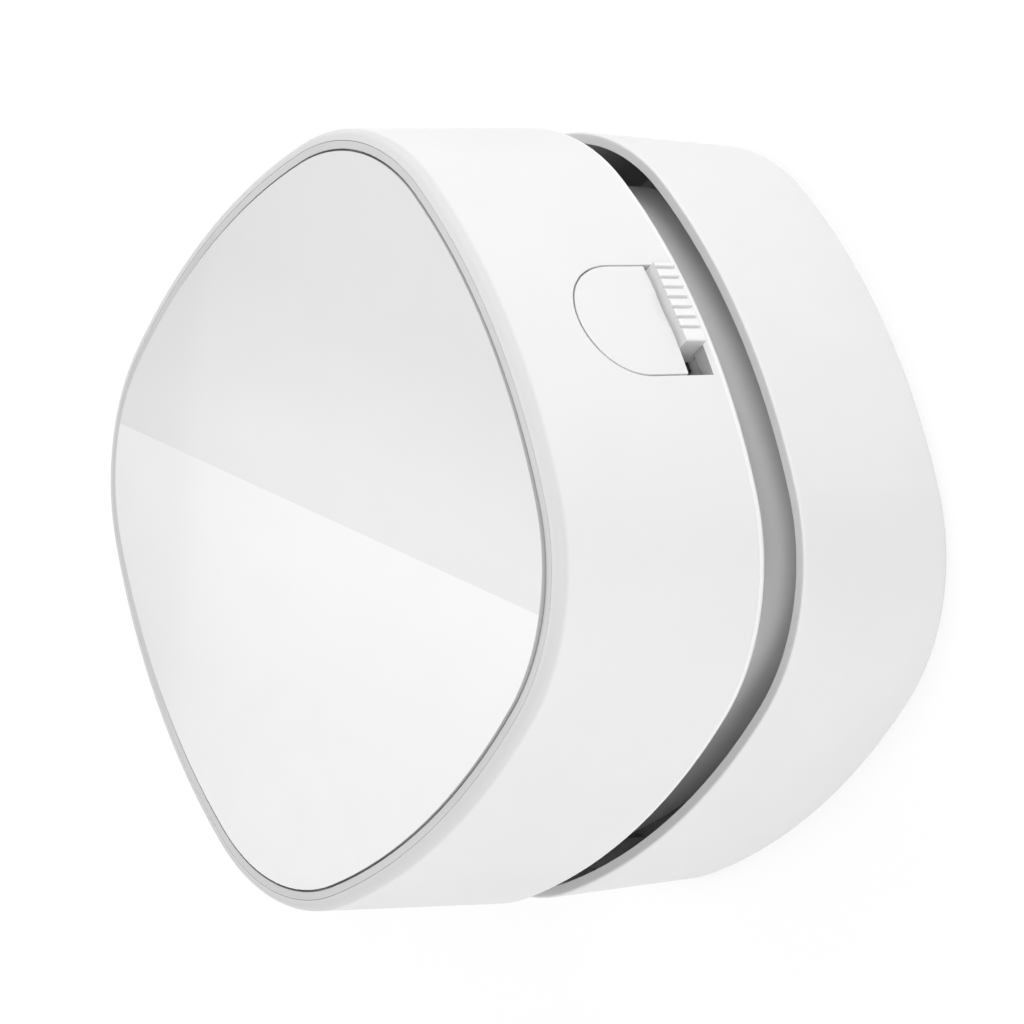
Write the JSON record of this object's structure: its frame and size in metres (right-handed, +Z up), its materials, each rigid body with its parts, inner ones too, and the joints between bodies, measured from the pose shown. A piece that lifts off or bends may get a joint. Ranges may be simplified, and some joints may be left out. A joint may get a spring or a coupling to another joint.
{
  "type": "desktop mini vacuum cleaner",
  "caption": "Small battery vacuum cleaner for desks: rounded-square white shells with an air gap between them, a slide switch on one side and a suction mouth underneath.",
  "frame": {"origin": "centre of the outline, on the surface that the feet rest on", "axes": "+Z up through the face panel, -Y the flat side with the slide switch, +X to the right when that side faces the viewer"},
  "size_m": [0.0798, 0.0808, 0.0553],
  "materials": {
    "white_shell": "satin",
    "panel_gloss": "gloss",
    "light_grey": "satin",
    "neck_grey": "matte",
    "white_inner": "matte",
    "black_plastic": "matte",
    "steel": "brushed",
    "nickel": "plated",
    "board": "solder mask",
    "cell_wrap": "shrink wrap",
    "fan_plastic": "satin",
    "mesh": "woven",
    "foam": "foam",
    "bristle": "nylon",
    "rubber": "matte",
    "lead_sleeve": "vinyl"
  },
  "bodies": {
    "base": {"base_shell": "white_shell", "dust_cup": "white_inner", "intake_tube": "white_inner", "brush_ring": "light_grey", "bristle_tufts": "bristle", "rubber_feet": "rubber"},
    "upper_unit": {"upper_housing": "white_shell", "trim_ring": "light_grey", "top_panel": "panel_gloss", "thumb_plate": "white_shell", "switch_body": "black_plastic", "switch_board": "board", "fan_chassis": "neck_grey", "chassis_screws": "steel", "motor_can": "nickel", "motor_end_cap": "black_plastic", "motor_screws": "steel", "fan_cover": "white_inner", "cover_screws": "steel", "battery_cell": "cell_wrap", "battery_cradle": "white_inner", "battery_contacts": "nickel", "charge_board": "board", "board_screws": "steel", "usb_socket": "nickel", "wire_leads": "lead_sleeve"},
    "filter": {"filter_frame": "light_grey", "filter_mesh": "mesh", "filter_seal": "foam"},
    "fan": {"motor_shaft": "steel", "impeller": "fan_plastic"},
    "switch_slide": {"slide_knob": "white_shell", "switch_nub": "black_plastic"}
  },
  "joints": [
    {"name": "upper_lift", "type": "slide", "parent": "base", "child": "upper_unit", "axis": [0, 0, 1], "range_m": [0, 0.04]},
    {"name": "filter_lift", "type": "slide", "parent": "base", "child": "filter", "axis": [0, 0, 1], "range_m": [0, 0.02]},
    {"name": "fan_spin", "type": "hinge", "parent": "upper_unit", "child": "fan", "pos_m": [0, 0, 0.025], "axis": [0, 0, 1], "continuous": true},
    {"name": "switch_travel", "type": "slide", "parent": "upper_unit", "child": "switch_slide", "axis": [-1, 0, 0], "range_m": [0, 0.003]}
  ],
  "couplings": [
    {"joint": "filter_lift", "follows": "upper_lift", "ratio": 0.5}
  ]
}
